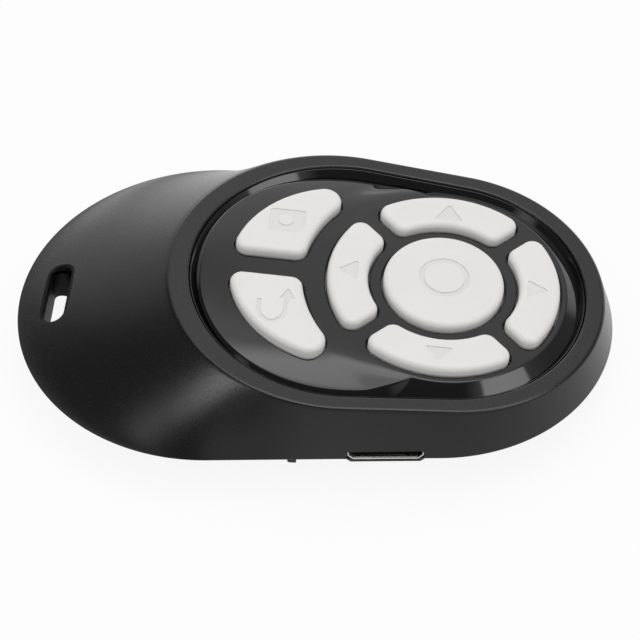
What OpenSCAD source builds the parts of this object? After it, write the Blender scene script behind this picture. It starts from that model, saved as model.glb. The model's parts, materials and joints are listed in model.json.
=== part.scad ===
// Handheld camera shutter remote: seven keys on a tilted pod, sweeping down to a tail
// with a lanyard slot. Millimetres. Z is up, X runs from tail to nose, origin on the table.

/* [Body outline] */
// Radius of the round tail end, seen from above
tail_radius = 20.5; // [19:0.1:22]
// Radius of the round nose end, seen from above
nose_radius = 18.4; // [17.8:0.1:19]
// Distance between the centres of the tail round and the nose round
round_spacing = 23.5; // [22:0.1:25]
// Height of the parting line above the table
cover_depth = 3.8; // [3.5:0.1:4.4]
// How far the flat underside is set in from the outline
cover_inset = 3.2; // [2.6:0.1:3.6]
// Shell wall thickness
wall = 1.4; // [1.1:0.1:1.6]

/* [Pod] */
// Downward slope of the pod towards the nose, degrees
pod_tilt = 4.4; // [3.5:0.1:5]
// Height of the rim plane over the parting line, at the middle of the ring of keys
pod_rise = 5.2; // [5:0.1:6]
// Distance from the middle of the nose round to the middle of the ring of keys
ring_offset = 0.62; // [0.3:0.02:0.8]
// How far the rim's inner edge stands in from the nose outline
nose_shoulder = 3.65; // [3.5:0.05:3.9]
// How far the rim's inner edge stands in from the tail outline, at the camera and back keys
tail_shoulder = 4.6; // [4.4:0.05:4.8]
// Width of the flat rim
rim_width = 1.75; // [1.5:0.05:1.9]
// Concave sweep of the tail, 1 is straight
tail_sweep = 1.425; // [1:0.025:1.7]

/* [Faceplate] */
// Height of the plateau over the rim
plateau_rise = 0.25; // [0.1:0.05:0.5]
// Distance from the rim in to the plateau around the ring of keys
nose_moat = 2.0; // [1.85:0.05:2.15]
// Distance from the rim in to the plateau around the camera and back keys
tail_moat = 1.4; // [1.3:0.05:1.6]
// Depth of the moat under the rim
moat_depth = 0.9; // [0.7:0.05:1]
// Width of the falling border of the plateau around the camera and back keys
border_width = 2.2; // [1.8:0.1:2.3]
// Share of the plateau's height that this border falls by
border_share = 0.7; // [0.5:0.05:0.8]
// Width of the slope from the plateau down to the moat around the ring of keys
slope_width = 1.1; // [0.8:0.05:1.2]
// Thickness of the plateau
plateau_thickness = 1.35; // [1.2:0.05:1.5]
// Depth of the faceplate's seat under the rim
seat_depth = 1.7; // [1.6:0.05:1.8]

/* [Keys] */
// Plateau left outside the four arrow keys
arrow_border = 0.75; // [0.7:0.05:0.9]
// Width of the four arrow keys
arrow_width = 4.2; // [4:0.05:4.3]
// Plateau between the round middle key and the arrow keys
ok_bridge = 1.58; // [1.4:0.02:1.7]
// Space between two neighbouring arrow keys
arrow_space = 1.9; // [1.7:0.05:2.1]
// Radius of the key corners, seen from above
key_corner = 1.25; // [1:0.05:1.4]
// Plateau left outside the camera and back keys
side_border = 2.64; // [2.56:0.02:2.8]
// Plateau between the left arrow key and the camera and back keys
side_bridge = 2.56; // [2.4:0.02:2.7]
// Width of the camera and back keys along X
side_width = 7.55; // [7.3:0.05:7.8]
// Distance from the centre line to their straight edge
side_straight = 1.55; // [1.4:0.05:1.8]
// Radius of their pointed end, seen from above
side_tip = 1.75; // [1.3:0.05:1.9]
// Height of the keys over the plateau
key_height = 1.0; // [0.8:0.05:1.3]
// Rounding of the key's top edge
key_round = 0.6; // [0.4:0.05:0.7]
// Gap around a key
key_gap = 0.2; // [0.15:0.01:0.25]
// How far a key goes down when it is pressed
key_travel = 0.3; // [0.2:0.02:0.34]
// Width of the flange that keeps a key in
flange_width = 0.6; // [0.4:0.05:0.6]
// Thickness of that flange
flange_thickness = 0.6; // [0.5:0.05:0.7]
// Radius of the post under a key
post_radius = 1.8; // [1.5:0.05:2]

/* [Lanyard slot] */
// Width of the slot along X
slot_width = 2.2; // [2:0.05:2.4]
// Length of the slot along Y
slot_length = 7.6; // [7:0.1:8.2]
// Distance from the tail's end to the middle of the slot
slot_setback = 4.15; // [4:0.05:4.6]

/* [Port and switch] */
// Width of the charging socket
socket_width = 7.7; // [7.5:0.05:7.8]
// Height of the charging socket
socket_height = 2.5; // [2.3:0.05:2.7]
// Length of the charging socket
socket_length = 5; // [4.8:0.1:5.4]
// Sheet thickness of the socket
socket_sheet = 0.25; // [0.2:0.01:0.3]
// Distance from the middle of the ring of keys back to the socket
socket_back = 4.63; // [4:0.05:5]
// How deep the socket's mouth sits in the wall
socket_recess = 1.4; // [1.2:0.05:1.5]
// Distance from the middle of the ring of keys back to the switch knob
knob_back = 14.02; // [13:0.05:14.5]
// Width of the switch knob
knob_width = 0.9; // [0.8:0.05:1.1]
// Height of the switch knob
knob_height = 0.7; // [0.6:0.05:0.8]
// Travel of the switch knob
knob_travel = 2; // [1.5:0.1:2.4]

/* [Inside] */
// Distance from the parting line down to the middle of the circuit board and the socket
board_drop = 0.45; // [0.35:0.05:0.5]
// Thickness of the circuit board
board_thickness = 1.0; // [0.8:0.05:1.1]
// Thickness of the silicone sheet under the keys
mat_thickness = 0.8; // [0.7:0.05:0.85]
// Height of the pips on the silicone sheet
pip_height = 0.4; // [0.3:0.05:0.45]
// Battery width along X
battery_width = 8; // [7:0.1:8.4]

/* [Hidden] */
$fn = 72;
stations = 96;
run = 1;
half_turn = 180;
full_turn = 360;
quarter_turn = 90;
eighth_turn = 45;
half_share = 0.5;

body_length = tail_radius + round_spacing + nose_radius;
tail_x = tail_radius - body_length / 2;
nose_x = tail_x + round_spacing;
ring_x = nose_x + ring_offset;
parting = cover_depth;
rim_z = parting + pod_rise;
rim_nose_radius = nose_radius - nose_shoulder;
rim_tail_radius = tail_radius - tail_shoulder;
plateau_nose_radius = rim_nose_radius - nose_moat;
plateau_tail_radius = rim_tail_radius - tail_moat;
arrow_outer = plateau_nose_radius - arrow_border;
arrow_inner = arrow_outer - arrow_width;
ok_radius = arrow_inner - ok_bridge;
side_outer = plateau_tail_radius - side_border;
side_inner = arrow_outer + side_bridge;
lobe_gap = side_inner + side_width - side_outer;

// Rim outer edge: the same lobes, a little wider at the tail end
rim_nose_shift = 0.2;
rim_tail_shift = 0.55;
rim_out_nose = rim_nose_radius + rim_width;
rim_out_tail = rim_tail_radius + rim_width;
ledge_width = 1.0;
ledge_thickness = 0.8;
plate_fit = 0.03;
tail_slope_width = 0.25;
border_drop = border_share * (plateau_rise + moat_depth);
cove_width = 0.35;
cove_drop = 0.15;
pocket_over = 0.1;
pocket_rim = 1.35;
pocket_nose = plateau_nose_radius + pocket_over;
pocket_tail = plateau_tail_radius - pocket_rim;

// Cover
floor_thickness = 1.3;
cover_step = 0.1;
floor_inset = wall + cover_step + (cover_inset - cover_step) * (1 - floor_thickness / cover_depth);
lip_height = 0.8;
lip_thickness = 0.7;
lip_fit = 0.1;
boss_radius = 1.6;
surround_width = 8.5;
surround_drop = 1.6;
surround_corner = 0.7;
surround_lip = 0.05;

// Board and what sits on it
board_middle = parting - board_drop;
board_top = board_middle + board_thickness / 2;
board_bottom = board_middle - board_thickness / 2;
board_inset = 2.8;
battery_gap = 1.1;
rim_tail_x = ring_x - lobe_gap - rim_out_tail;
battery_reach_share = 0.342;
battery_length_share = 0.45;
battery_height_share = 0.1;
battery_left = rim_tail_x - battery_reach_share * (rim_tail_x + body_length / 2);
battery_x = battery_left + battery_width / 2;
battery_length = 2 * battery_length_share * rim_out_tail;
board_left = battery_left + battery_width + battery_gap;
part_fit = 0.05;
screw_radius = 0.7;
screw_head_radius = 1.2;
screw_head_height = 0.8;
screw_length = 2.3;
screw_gap = 0.4;
screw_angle = 39;

// Keys
flange_top = -(plateau_thickness - plateau_rise) - part_fit;
flange_bottom = flange_top - flange_thickness;
key_rest_gap = 0.02;
post_end = board_top + mat_thickness + pip_height + key_travel + key_rest_gap;
arrow_spot = (arrow_inner + arrow_outer) / 2;
side_corners = [side_top(), side_back(), side_front()];
side_spot = (side_corners[0] + side_corners[1] + side_corners[2]) / 3;
key_spots = [[0, 0], [arrow_spot, 0], [-arrow_spot, 0], [0, arrow_spot], [0, -arrow_spot],
    side_spot, [side_spot[0], -side_spot[1]]];
pip_radius = 1.5;
dome_radius = 2.5;
dome_height = 0.3;
dome_sheet = 0.1;
dome_room = 0.25;
mat_margin = 0.9;
mat_nose_radius = arrow_outer + mat_margin;
mat_tail_radius = side_outer + mat_margin;
mat_fit = 0.15;
screw_room = screw_head_radius + screw_gap;
screw_reach = mat_tail_radius + screw_room;
screw_meet = meet(-lobe_gap, screw_reach, 0, mat_nose_radius + screw_room, 1);
screw_spots = [[ring_x - lobe_gap - screw_reach * cos(screw_angle), screw_reach * sin(screw_angle)],
    [ring_x - lobe_gap - screw_reach * cos(screw_angle), -screw_reach * sin(screw_angle)],
    [ring_x + screw_meet[0], screw_meet[1]]];

// Socket and switch
socket_x = ring_x - socket_back;
socket_chamfer = 0.6;
knob_x = ring_x - knob_back;
switch_x = knob_x + knob_travel / 2;
switch_length = 6.6;
switch_depth = 2.6;
switch_height = 1.4;
switch_sheet = 0.3;
knob_drop = 1.65;
knob_out = 1.25;
knob_root = 0.8;
knob_room = 0.3;

// Battery
tape_thickness = 0.2;
battery_thickness = parting - floor_thickness - tape_thickness + battery_height_share * pod_rise;
lead_radius = 0.35;
lead_space_share = 0.41;
lead_space = battery_length * lead_space_share;
lead_arch = 0.9;
battery_round = 0.8;

// Lines that meet two rounds
function lean(ca, ra, cb, rb) = acos((ra - rb) / (cb - ca));
function round_hit(x, a, c, r) = let(d = c - x, b = d * cos(a), q = b * b - d * d + r * r)
    q >= 0 ? b + sqrt(q) : -1;
function reach(x, a, ca, ra, cb, rb) = let(
    f = lean(ca, ra, cb, rb),
    t = (ca * cos(f) + ra - x * cos(f)) / max(1e-6, cos(a) * cos(f) + abs(sin(a)) * sin(f)),
    hit = x + t * cos(a))
    hit >= ca + ra * cos(f) && hit <= cb + rb * cos(f) ? t
    : max(round_hit(x, a, ca, ra), round_hit(x, a, cb, rb));

// Two rounds joined by their common tangents
module lobes(ca, ra, cb, rb) {
    f = lean(ca, ra, cb, rb);
    translate([ca, 0]) circle(r = ra, $fn = 120);
    translate([cb, 0]) circle(r = rb, $fn = 120);
    polygon([[ca + ra * cos(f), -ra * sin(f)], [cb + rb * cos(f), -rb * sin(f)],
        [cb + rb * cos(f), rb * sin(f)], [ca + ra * cos(f), ra * sin(f)]]);
}

module body_lobes(inset) {
    lobes(tail_x, tail_radius - inset, nose_x, nose_radius - inset);
}

module rim_lobes(inset) {
    lobes(-lobe_gap, rim_tail_radius - inset, 0, rim_nose_radius - inset);
}

// The same outline with a slanted side, from inset low at the bottom to inset high at the top
function round_points(c, r, from, to, z) = [for (i = [0 : stations / 2])
    let(a = from + (to - from) * i / (stations / 2)) [c + r * cos(a), r * sin(a), z]];
function outline_points(inset, z) = let(f = lean(tail_x, tail_radius, nose_x, nose_radius)) concat(
    round_points(nose_x, nose_radius - inset, -f, f, z),
    round_points(tail_x, tail_radius - inset, f, full_turn - f, z));
module slant_lobes(h, low, high) {
    bottom = outline_points(low, 0);
    n = len(bottom);
    polyhedron(points = concat(bottom, outline_points(high, h)), faces = concat(
        [[for (i = [0 : n - 1]) i], [for (i = [n - 1 : -1 : 0]) n + i]],
        [for (i = [0 : n - 1]) let(k = (i + 1) % n) [i, n + i, n + k, k]]));
}

module pod() {
    translate([ring_x, 0, rim_z]) rotate([0, pod_tilt, 0]) children();
}

// Body skin between the outline at the parting line and the rim's outer edge.
// Each station is a ray from the pod's middle; longer runs sweep down in a deeper hollow.
pod_middle = -lobe_gap / 2;
sweep_shares = [0, 0.06, 0.16, 0.3, 0.46, 0.62, 0.78, 0.9, 1];
longest_run = ring_x + pod_middle + body_length / 2 - (rim_out_tail + lobe_gap / 2 + rim_tail_shift);
function skin_point(a, u, inset, low, drop) = let(
    c = (ring_x + pod_middle * cos(pod_tilt)),
    rb = reach(c, a, tail_x, tail_radius - inset, nose_x, nose_radius - inset),
    rr = reach(pod_middle, a, -lobe_gap - rim_tail_shift, rim_out_tail - inset,
        rim_nose_shift, rim_out_nose - inset),
    xr = pod_middle + rr * cos(a),
    top = rim_z - xr * sin(pod_tilt) - drop,
    p = 1 + (tail_sweep - 1) * max(0, rb - rr) / longest_run,
    xa = c + rb * cos(a),
    xb = ring_x + xr * cos(pod_tilt))
    [xa + (xb - xa) * u, rb * sin(a) + (rr - rb) * sin(a) * u,
        parting - low + (top - parting + low) * pow(u, p)];

module skin(inset, low, drop) {
    rings = len(sweep_shares);
    points = [for (k = [0 : rings - 1]) for (i = [0 : stations - 1])
        skin_point(full_turn * i / stations, sweep_shares[k], inset, low, drop)];
    faces = [[for (i = [0 : stations - 1]) i],
        [for (i = [stations - 1 : -1 : 0]) (rings - 1) * stations + i],
        for (k = [0 : rings - 2]) for (i = [0 : stations - 1]) let(
            a = k * stations + i, b = k * stations + (i + 1) % stations)
            each [[a, a + stations, b + stations], [a, b + stations, b]]];
    polyhedron(points = points, faces = faces);
}

module slot_hole() {
    r = slot_width / 2;
    translate([-body_length / 2 + slot_setback, 0, -run]) linear_extrude(rim_z + 2 * run) {
        square([slot_width, slot_length - slot_width], center = true);
        for (s = [-1, 1]) translate([0, s * (slot_length - slot_width) / 2]) circle(r = r);
    }
}

module socket_outline(grow) {
    w = socket_width / 2 + grow;
    h = socket_height / 2 + grow;
    polygon([[-w + socket_chamfer, -h], [w - socket_chamfer, -h], [w, -h + socket_chamfer],
        [w, h], [-w, h], [-w, -h + socket_chamfer]]);
}

// Mouth and depth of the socket, measured on the near wall
near_lean = lean(tail_x, tail_radius, nose_x, nose_radius);
function wall_y(x) = (tail_x * cos(near_lean) + tail_radius - x * cos(near_lean)) / sin(near_lean);
socket_front = -wall_y(socket_x) + socket_recess;

module socket_bar(grow, from, to) {
    translate([socket_x, to, board_middle]) rotate([quarter_turn, 0, 0])
        linear_extrude(to - from) socket_outline(grow);
}

module top_shell() {
    color([0.07, 0.07, 0.075]) difference() {
        skin(0, 0, 0);
        skin(wall, wall, seat_depth + ledge_thickness);
        pod() translate([0, 0, -seat_depth]) linear_extrude(seat_depth + run) rim_lobes(0);
        pod() translate([0, 0, -seat_depth - ledge_thickness - run])
            linear_extrude(ledge_thickness + 2 * run) rim_lobes(ledge_width);
        slot_hole();
        socket_bar(part_fit, -nose_radius - tail_radius, socket_front + socket_length + run);
    }
}

module bottom_cover() {
    color([0.06, 0.06, 0.065]) difference() {
        union() {
            difference() {
                slant_lobes(cover_depth, cover_inset, cover_step);
                translate([0, 0, floor_thickness])
                    slant_lobes(cover_depth - floor_thickness + part_fit,
                        floor_inset,
                        wall + cover_step);
            }
            // Locating lip inside the shell
            intersection() {
                difference() {
                    translate([0, 0, parting - lip_thickness])
                        linear_extrude(lip_height + lip_thickness) body_lobes(wall + lip_fit);
                    translate([0, 0, -run]) linear_extrude(rim_z) body_lobes(wall + lip_fit + lip_thickness);
                }
                union() {
                    skin(wall + lip_fit, wall + lip_fit, seat_depth);
                    translate([-body_length, -body_length, 0])
                        cube([2 * body_length, 2 * body_length, parting]);
                }
            }
            // Posts for the board screws
            intersection() {
                for (s = screw_spots) translate([s[0], s[1], 0]) cylinder(h = board_bottom, r = boss_radius);
                slant_lobes(cover_depth, cover_inset, cover_step);
            }
            // Solid tail around the slot
            intersection() {
                translate([-body_length / 2, -slot_length / 2 - wall, 0])
                    cube([slot_setback + slot_width / 2 + wall, slot_length + 2 * wall, cover_depth]);
                slant_lobes(cover_depth, cover_inset, cover_step);
            }
            // Raised surround of the socket
            translate([socket_x, socket_front + wall, board_middle - surround_drop])
                rotate([quarter_turn, 0, 0]) linear_extrude(wall + surround_lip)
                polygon([[-surround_width / 2 + surround_corner, 0], [surround_width / 2 - surround_corner, 0],
                    [surround_width / 2, surround_corner], [surround_width / 2, surround_drop + board_drop],
                    [-surround_width / 2, surround_drop + board_drop], [-surround_width / 2, surround_corner]]);
        }
        slot_hole();
        socket_bar(part_fit, -nose_radius - tail_radius, socket_front + socket_length + part_fit);
        for (s = screw_spots) translate([s[0], s[1], board_top - screw_length])
            cylinder(h = screw_length, r = screw_radius);
        // Window for the switch knob
        translate([knob_x - knob_width / 2 - knob_room, -tail_radius - run,
            parting - knob_drop - knob_height / 2 - knob_room / 2])
            cube([knob_width + knob_travel + 2 * knob_room, tail_radius / 2, knob_height + knob_room]);
    }
}

inner_reach_share = 0.97;
module arrow_outline(grow) {
    ri = arrow_inner - grow;
    ro = arrow_outer + grow;
    c = key_corner + grow;
    s = arrow_space / 2 - grow;
    lo = sqrt((ro - c) * (ro - c) - (s + c) * (s + c));
    li = sqrt((ri + c * inner_reach_share) * (ri + c * inner_reach_share) - (s + c) * (s + c));
    function spot(l, p, side) = [l * cos(eighth_turn) + p * sin(eighth_turn),
        side * (l * sin(eighth_turn) - p * cos(eighth_turn))];
    function inner(side) = spot(li, s + c, side) * inner_reach_share * ri / (ri + c);
    function outer(side) = spot(lo, s + c, side) * 2 * ro / (ro - c);
    difference() {
        union() {
            polygon([spot(li, s + c, -1), spot(li, s, -1), spot(lo, s, -1), spot(lo, s + c, -1),
                spot(lo, s + c, 1), spot(lo, s, 1), spot(li, s, 1), spot(li, s + c, 1), inner(1), inner(-1)]);
            for (side = [-1, 1]) {
                translate(spot(lo, s + c, side)) circle(r = c);
                translate(spot(li, s + c, side)) circle(r = c);
            }
            intersection() {
                circle(r = ro, $fn = 120);
                polygon([spot(lo, s + c, -1), outer(-1), outer(1), spot(lo, s + c, 1)]);
            }
        }
        circle(r = ri, $fn = 120);
    }
}

// Camera key outline: outer round, hollow round and one straight edge, three round corners
function meet(c1, r1, c2, r2, side) = let(
    x = (c1 * c1 - c2 * c2 - r1 * r1 + r2 * r2) / (2 * (c1 - c2)),
    y = sqrt(max(0, r1 * r1 - (x - c1) * (x - c1)))) [x, side * y];
function side_top() = meet(-lobe_gap, side_outer - side_tip, 0, side_inner + side_tip, 1);
function side_back() = let(r = side_outer - key_corner, y = side_straight + key_corner)
    [-lobe_gap - sqrt(r * r - y * y), y];
function side_front() = let(r = side_inner + key_corner, y = side_straight + key_corner)
    [-sqrt(r * r - y * y), y];
module side_outline(grow) {
    ro = side_outer + grow;
    ri = side_inner - grow;
    y = side_straight - grow;
    c = key_corner + grow;
    tip = side_tip + grow;
    top = side_top();
    back = side_back();
    front = side_front();
    out_top = top + tip / (ro - tip) * (top - [-lobe_gap, 0]);
    out_back = back + c / (ro - c) * (back - [-lobe_gap, 0]);
    in_top = top - tip / (ri + tip) * top;
    in_front = front - c / (ri + c) * front;
    difference() {
        union() {
            translate(top) circle(r = tip);
            for (p = [back, front]) translate(p) circle(r = c);
            polygon([back, [back[0], y], [front[0], y], front]);
            intersection() {
                translate([-lobe_gap, 0]) circle(r = ro, $fn = 120);
                polygon([back, [-lobe_gap, 0] + 2 * (out_back - [-lobe_gap, 0]),
                    [-lobe_gap - ro, ro * 2], [-lobe_gap, 0] + 2 * (out_top - [-lobe_gap, 0]), top]);
            }
            polygon([back, top, in_top, in_front, front]);
        }
        circle(r = ri, $fn = 120);
    }
}

module round_profile(low, high, from, to) {
    translate([from, low]) square([to - from, high - key_round - low]);
    translate([from + key_round, low]) square([to - from - 2 * key_round, high - low]);
    for (x = [from + key_round, to - key_round]) translate([x, high - key_round]) circle(r = key_round, $fn = 48);
}

key_top = plateau_rise + key_height;

module key_post(spot) {
    intersection() {
        pod() translate([spot[0], spot[1], -rim_z]) cylinder(h = rim_z + flange_bottom + part_fit, r = post_radius);
        translate([-body_length, -body_length, post_end]) cube(2 * body_length);
    }
}

module key_ok() {
    color([0.83, 0.83, 0.82]) union() {
        pod() rotate_extrude($fn = 96) {
            translate([0, flange_bottom]) square([ok_radius + flange_width, flange_thickness]);
            intersection() {
                round_profile(flange_bottom, key_top, -ok_radius, ok_radius);
                translate([0, flange_bottom]) square([2 * ok_radius, key_top - flange_bottom]);
            }
        }
        key_post([0, 0]);
    }
}

module arrow_key(turn) {
    pod() rotate([0, 0, turn]) {
        translate([0, 0, flange_bottom]) linear_extrude(flange_thickness) arrow_outline(flange_width);
        intersection() {
            translate([0, 0, flange_bottom]) linear_extrude(key_top - flange_bottom) arrow_outline(0);
            rotate_extrude($fn = 120) round_profile(flange_bottom, key_top, arrow_inner, arrow_outer);
        }
    }
    key_post([arrow_spot * cos(turn), arrow_spot * sin(turn)]);
}

module key_right() {
    color([0.83, 0.83, 0.82]) arrow_key(0);
}

module key_up() {
    color([0.83, 0.83, 0.82]) arrow_key(quarter_turn);
}

module key_left() {
    color([0.83, 0.83, 0.82]) arrow_key(half_turn);
}

module key_down() {
    color([0.83, 0.83, 0.82]) arrow_key(-quarter_turn);
}

module side_key() {
    pod() {
        translate([0, 0, flange_bottom]) linear_extrude(flange_thickness) side_outline(flange_width);
        intersection() {
            translate([0, 0, flange_bottom]) linear_extrude(key_top - flange_bottom) side_outline(0);
            translate([-lobe_gap, 0, 0]) rotate_extrude($fn = 120)
                intersection() {
                    round_profile(flange_bottom, key_top, -side_outer, side_outer);
                    translate([0, flange_bottom]) square([2 * side_outer, key_top - flange_bottom]);
                }
            rotate_extrude($fn = 120) round_profile(flange_bottom, key_top, side_inner, 2 * side_inner);
            rotate([quarter_turn, 0, quarter_turn]) translate([0, 0, -2 * side_inner])
                linear_extrude(2 * side_inner)
                round_profile(flange_bottom, key_top, side_straight, 2 * side_inner);
        }
    }
    key_post(side_spot);
}

module key_camera() {
    color([0.83, 0.83, 0.82]) side_key();
}

module key_back() {
    color([0.83, 0.83, 0.82]) mirror([0, 1, 0]) side_key();
}

module faceplate() {
    color([0.02, 0.02, 0.025]) pod() difference() {
        union() {
            translate([0, 0, -seat_depth]) linear_extrude(seat_depth - moat_depth) rim_lobes(plate_fit);
            translate([0, 0, -seat_depth]) linear_extrude(seat_depth - cove_drop) difference() {
                rim_lobes(plate_fit);
                rim_lobes(plate_fit + cove_width);
            }
            translate([0, 0, -moat_depth]) cylinder(h = moat_depth + plateau_rise,
                r1 = plateau_nose_radius + slope_width, r2 = plateau_nose_radius, $fn = 120);
            translate([-lobe_gap, 0, -moat_depth]) cylinder(h = moat_depth + plateau_rise - border_drop,
                r1 = plateau_tail_radius + tail_slope_width, r2 = plateau_tail_radius, $fn = 120);
            translate([-lobe_gap, 0, plateau_rise - border_drop]) cylinder(h = border_drop,
                r1 = plateau_tail_radius, r2 = plateau_tail_radius - border_width, $fn = 120);
        }
        translate([0, 0, -seat_depth - run]) linear_extrude(seat_depth + run + plateau_rise - plateau_thickness) {
            circle(r = pocket_nose, $fn = 120);
            translate([-lobe_gap, 0]) circle(r = pocket_tail, $fn = 120);
        }
        translate([0, 0, -seat_depth - run]) linear_extrude(seat_depth + plateau_rise + 2 * run) {
            circle(r = ok_radius + key_gap);
            for (i = [0 : 3]) rotate(quarter_turn * i) arrow_outline(key_gap);
            side_outline(key_gap);
            mirror([0, 1]) side_outline(key_gap);
        }
    }
}

// Where a key's post comes down, in the body's own frame
function spot_x(s) = ring_x + s[0] * cos(pod_tilt)
    - (rim_z - s[0] * sin(pod_tilt) - post_end) * tan(pod_tilt);

module key_mat() {
    color([0.55, 0.56, 0.58]) difference() {
        union() {
            translate([ring_x, 0, board_top]) linear_extrude(mat_thickness) {
                circle(r = mat_nose_radius, $fn = 120);
                translate([-lobe_gap, 0]) circle(r = mat_tail_radius, $fn = 120);
            }
            for (s = key_spots) translate([spot_x(s), s[1], board_top])
                cylinder(h = mat_thickness + pip_height, r = pip_radius);
        }
        for (s = key_spots) translate([spot_x(s), s[1], board_top - run])
            cylinder(h = run + dome_height + dome_room / 2, r = dome_radius + dome_room);
        translate([socket_x - socket_width / 2 - mat_fit, -tail_radius - nose_radius, board_top - run])
            cube([socket_width + 2 * mat_fit, tail_radius + nose_radius + socket_front + socket_length + mat_fit,
                mat_thickness + pip_height + 2 * run]);
    }
}

// Seven thin spring domes
dome_ball = (dome_radius * dome_radius + dome_height * dome_height) / (2 * dome_height);
module metal_domes() {
    color([0.75, 0.76, 0.78]) for (s = key_spots) translate([spot_x(s), s[1], board_top])
        rotate_extrude($fn = 48) intersection() {
            square([dome_radius, dome_height]);
            difference() {
                translate([0, dome_height - dome_ball]) circle(r = dome_ball, $fn = 240);
                translate([0, dome_height - dome_ball]) circle(r = dome_ball - dome_sheet, $fn = 240);
            }
        }
}

module circuit_board() {
    color([0.05, 0.28, 0.14]) translate([0, 0, board_bottom]) linear_extrude(board_thickness)
        difference() {
            body_lobes(board_inset);
            translate([-body_length, -body_length]) square([board_left + body_length, 2 * body_length]);
            translate([socket_x - socket_width / 2 - part_fit, -tail_radius])
                square([socket_width + 2 * part_fit, tail_radius + socket_front + socket_length + part_fit]);
            for (s = screw_spots) translate(s) circle(r = screw_radius + part_fit);
        }
}

module usb_shell() {
    color([0.78, 0.78, 0.8]) {
        difference() {
            socket_bar(0, socket_front, socket_front + socket_length);
            socket_bar(-socket_sheet, socket_front - run, socket_front + socket_length - socket_sheet);
        }
        // Solder tabs on the board
        for (s = [-1, 1]) translate([socket_x + s * (socket_width / 2 + socket_sheet * 2),
            socket_front + socket_length * half_share, board_top + socket_sheet / 2])
            cube([socket_sheet * 4, socket_length / 4, socket_sheet], center = true);
    }
}

tongue_width = 3.7;
tongue_thickness = 0.6;
tongue_short = 0.9;
module usb_tongue() {
    color([0.1, 0.1, 0.1]) {
        translate([socket_x - tongue_width / 2, socket_front + tongue_short, board_middle - tongue_thickness / 2])
            cube([tongue_width, socket_length - socket_sheet - tongue_short, tongue_thickness]);
        socket_bar(-socket_sheet, socket_front + socket_length - socket_sheet * 4,
            socket_front + socket_length - socket_sheet);
    }
}

switch_front = -wall_y(switch_x + switch_length / 2) + floor_inset + part_fit;
module switch_body() {
    color([0.7, 0.71, 0.72]) difference() {
        translate([switch_x - switch_length / 2, switch_front, board_bottom - switch_height])
            cube([switch_length, switch_depth, switch_height]);
        translate([knob_x - knob_width / 2 - knob_room, switch_front - run,
            parting - knob_drop - knob_height / 2 - part_fit])
            cube([knob_width + knob_travel + 2 * knob_room, run + knob_root + part_fit, knob_height + 2 * part_fit]);
    }
}

module switch_knob() {
    reach_out = wall_y(knob_x) - knob_out;
    color([0.05, 0.05, 0.05]) translate([knob_x - knob_width / 2, -reach_out, parting - knob_drop - knob_height / 2])
        cube([knob_width, reach_out + switch_front + knob_root, knob_height]);
}

module battery_cell() {
    color([0.72, 0.73, 0.75]) translate([battery_x, 0, floor_thickness + tape_thickness])
        linear_extrude(battery_thickness) {
            square([battery_width - 2 * battery_round, battery_length], center = true);
            square([battery_width, battery_length - 2 * battery_round], center = true);
            for (i = [-1, 1], j = [-1, 1]) translate([i * (battery_width / 2 - battery_round),
                j * (battery_length / 2 - battery_round)]) circle(r = battery_round, $fn = 36);
        }
}

module battery_tape() {
    color([0.85, 0.8, 0.4]) translate([battery_x, 0, floor_thickness + tape_thickness / 2])
        cube([battery_width * 3 / 4, battery_length * 3 / 4, tape_thickness], center = true);
}

lead_from = battery_x + battery_width / 2 - lead_radius * 3;
lead_to = board_left + lead_radius * 3;
battery_top = floor_thickness + tape_thickness + battery_thickness;
lead_high = battery_top + lead_arch;
module battery_leads() {
    for (s = [-1, 1]) color(s > 0 ? [0.75, 0.08, 0.06] : [0.06, 0.06, 0.06]) {
        translate([lead_from, s * lead_space, battery_top])
            cylinder(h = lead_high - battery_top, r = lead_radius, $fn = 24);
        translate([lead_from, s * lead_space, lead_high]) sphere(r = lead_radius, $fn = 24);
        translate([lead_from, s * lead_space, lead_high]) rotate([0, quarter_turn, 0])
            cylinder(h = lead_to - lead_from, r = lead_radius, $fn = 24);
        translate([lead_to, s * lead_space, lead_high]) sphere(r = lead_radius, $fn = 24);
        translate([lead_to, s * lead_space, board_top])
            cylinder(h = lead_high - board_top, r = lead_radius, $fn = 24);
    }
}

chip_side = 4;
chip_height = 0.85;
chip_back = 6;
chip_step = 4;
chip_spot = [ring_x - chip_back, chip_step];
module bluetooth_chip() {
    color([0.09, 0.09, 0.1]) translate([chip_spot[0], chip_spot[1], board_bottom - chip_height / 2])
        cube([chip_side, chip_side, chip_height], center = true);
}

charge_size = [3, 1.6, 1.1];
crystal_back = 12.4;
charge_step = 9.4;
charge_spot = [ring_x - crystal_back, -charge_step];
pin_width = 0.4;
pin_pitch = 0.95;
module charge_chip() {
    color([0.09, 0.09, 0.1]) {
        translate([charge_spot[0], charge_spot[1], board_bottom - charge_size[2] / 2])
            cube(charge_size, center = true);
        for (i = [-1 : 1], s = [-1, 1]) translate([charge_spot[0] + i * pin_pitch,
            charge_spot[1] + s * charge_size[1] / 2, board_bottom - pin_width / 4])
            cube([pin_width, charge_size[1], pin_width / 2], center = true);
    }
}

crystal_size = [3.2, 2.5, 0.7];
crystal_spot = [ring_x - crystal_back, chip_step];
module crystal() {
    color([0.8, 0.8, 0.78]) translate([crystal_spot[0], crystal_spot[1], board_bottom - crystal_size[2] / 2])
        cube(crystal_size, center = true);
}

passive_size = [1.6, 0.8, 0.6];
passive_gap = 1.4;
passive_back = 8.4;
passive_step = 1.6;
passive_spot = [ring_x - passive_back, -passive_step];
module passives() {
    color([0.45, 0.36, 0.28]) for (i = [0 : 3], j = [0 : 1])
        translate([passive_spot[0] + i * (passive_size[0] + passive_gap / 2),
            passive_spot[1] - j * (passive_size[1] + passive_gap / 2), board_bottom - passive_size[2] / 2])
            cube(passive_size, center = true);
}

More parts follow.
